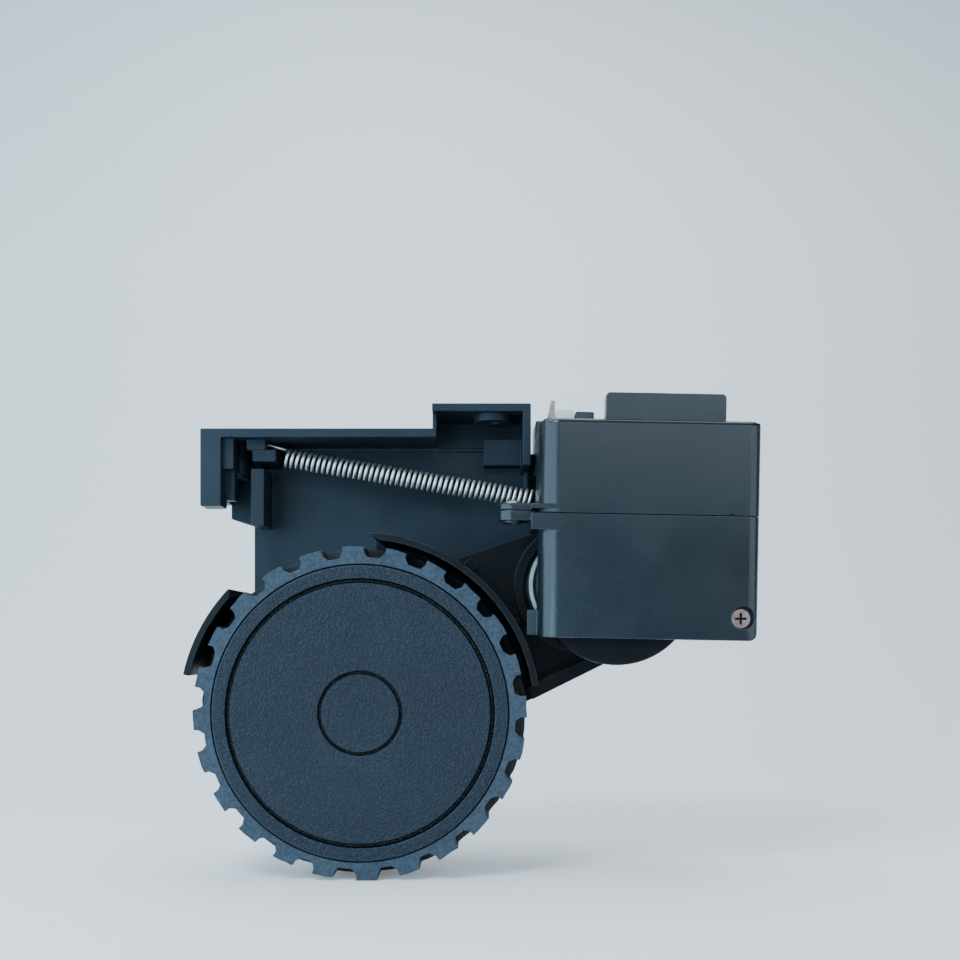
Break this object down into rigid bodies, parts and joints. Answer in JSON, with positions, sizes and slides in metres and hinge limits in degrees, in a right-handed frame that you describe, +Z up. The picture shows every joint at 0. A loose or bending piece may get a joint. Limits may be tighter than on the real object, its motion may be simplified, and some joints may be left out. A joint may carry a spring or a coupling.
{
  "type": "robot vacuum wheel module",
  "caption": "Robot vacuum drive wheel module: bracket, sprung swing arm with motor drum and gear train, toothed rubber tyre on a capped wheel, two-piece switch box.",
  "frame": {"origin": "centre of the middle chassis screw hole, on the bracket's top face", "axes": "+X to the right along the robot's side seen from the wheel's outer face, +Y from that face into the robot, +Z up"},
  "size_m": [0.1219, 0.048, 0.1035],
  "materials": {
    "bracket_plastic": "fine moulded texture",
    "housing_plastic": "smooth, scratched and dusty",
    "arm_plastic": "smooth moulded",
    "drum_plastic": "smooth moulded",
    "cap_plastic": "pebbled",
    "rim_plastic": "smooth moulded",
    "tyre_rubber": "dusty",
    "screw_steel": "plated",
    "shaft_steel": "ground",
    "spring_steel": "bright drawn wire",
    "can_steel": "zinc plated",
    "core_steel": "stacked sheets",
    "magnet_ferrite": "sintered",
    "winding_copper": "enamelled wire",
    "commutator_copper": "turned",
    "brush_carbon": "pressed carbon",
    "bush_bronze": "sintered",
    "gear_acetal": "smooth moulded",
    "output_acetal": "smooth moulded",
    "pinion_brass": "cut",
    "end_plate_plastic": "smooth moulded",
    "board_laminate": "varnished",
    "socket_plastic": "smooth moulded",
    "block_plastic": "smooth moulded",
    "contact_tin": "tinned",
    "switch_plastic": "smooth moulded",
    "button_plastic": "smooth moulded",
    "lever_steel": "rolled"
  },
  "bodies": {
    "bracket": {"bracket": "bracket_plastic", "housing_upper": "housing_plastic", "housing_lower": "housing_plastic", "ear_screw": "screw_steel", "corner_screw": "screw_steel", "housing_screws": "screw_steel", "spring": "spring_steel", "switch_board": "board_laminate", "connector_socket": "socket_plastic", "connector_pins": "contact_tin", "cable_block": "block_plastic", "contact_tab": "contact_tin", "tab_base": "block_plastic", "switch_case": "switch_plastic"},
    "button": {"switch_button": "button_plastic"},
    "lever": {"switch_lever": "lever_steel"},
    "arm": {"arm_shell": "arm_plastic", "arm_cover": "arm_plastic", "arm_screws": "screw_steel", "pivot_washer": "screw_steel", "pivot_screw": "screw_steel", "axle_bush_front": "bush_bronze", "axle_bush_rear": "bush_bronze", "gear_pin_1": "shaft_steel", "gear_pin_2": "shaft_steel", "gear_pin_3": "shaft_steel", "motor_can": "can_steel", "motor_plate": "end_plate_plastic", "magnet_upper": "magnet_ferrite", "magnet_lower": "magnet_ferrite", "motor_bush_front": "bush_bronze", "motor_bush_rear": "bush_bronze", "brush_left": "brush_carbon", "brush_right": "brush_carbon", "motor_terminals": "contact_tin", "drum_cap": "drum_plastic", "drum_screws": "screw_steel", "encoder_board": "board_laminate", "motor_screws": "screw_steel"},
    "rotor": {"motor_shaft": "shaft_steel", "motor_pinion": "pinion_brass", "armature_core": "core_steel", "armature_winding": "winding_copper", "commutator": "commutator_copper", "encoder_magnet": "magnet_ferrite"},
    "gear_train_1": {"gear_1": "gear_acetal"},
    "gear_train_2": {"gear_2": "gear_acetal"},
    "gear_train_3": {"gear_3": "gear_acetal"},
    "wheel": {"tyre": "tyre_rubber", "wheel_rim": "rim_plastic", "wheel_cap": "cap_plastic", "wheel_screw": "screw_steel", "wheel_axle": "shaft_steel", "output_gear": "output_acetal"}
  },
  "joints": [
    {"name": "arm_swing", "type": "hinge", "parent": "bracket", "child": "arm", "pos_m": [0.026, 0, -0.04165], "axis": [0, 1, 0], "range_deg": [0, 18], "stiffness_Nm_per_rad": 0.29, "springref_deg": -31.51, "deforming": ["spring"]},
    {"name": "wheel_spin", "type": "hinge", "parent": "arm", "child": "wheel", "pos_m": [-0.0282, 0, -0.06855], "axis": [0, 1, 0], "continuous": true},
    {"name": "gear_3_spin", "type": "hinge", "parent": "arm", "child": "gear_train_3", "pos_m": [-0.01758, 0, -0.05839], "axis": [0, 1, 0], "continuous": true},
    {"name": "gear_2_spin", "type": "hinge", "parent": "arm", "child": "gear_train_2", "pos_m": [-0.00473, 0, -0.05535], "axis": [0, 1, 0], "continuous": true},
    {"name": "gear_1_spin", "type": "hinge", "parent": "arm", "child": "gear_train_1", "pos_m": [0.00862, 0, -0.05186], "axis": [0, 1, 0], "continuous": true},
    {"name": "rotor_spin", "type": "hinge", "parent": "arm", "child": "rotor", "pos_m": [0.019, 0, -0.04145], "axis": [0, 1, 0], "continuous": true},
    {"name": "lever_tilt", "type": "hinge", "parent": "bracket", "child": "lever", "pos_m": [0.0302, 0.0045, -0.02075], "axis": [0, -1, 0], "range_deg": [-6, 0]},
    {"name": "button_slide", "type": "slide", "parent": "bracket", "child": "button", "axis": [0, 0, 1], "range_m": [-0.00026, 0]}
  ],
  "couplings": [
    {"joint": "gear_3_spin", "follows": "wheel_spin", "ratio": -2.2667},
    {"joint": "gear_2_spin", "follows": "wheel_spin", "ratio": 4.8571},
    {"joint": "gear_1_spin", "follows": "wheel_spin", "ratio": -11.102},
    {"joint": "rotor_spin", "follows": "wheel_spin", "ratio": 30.744},
    {"joint": "lever_tilt", "follows": "arm_swing", "ratio": -0.33333},
    {"joint": "button_slide", "follows": "arm_swing", "m_per_rad": -0.00079577}
  ]
}
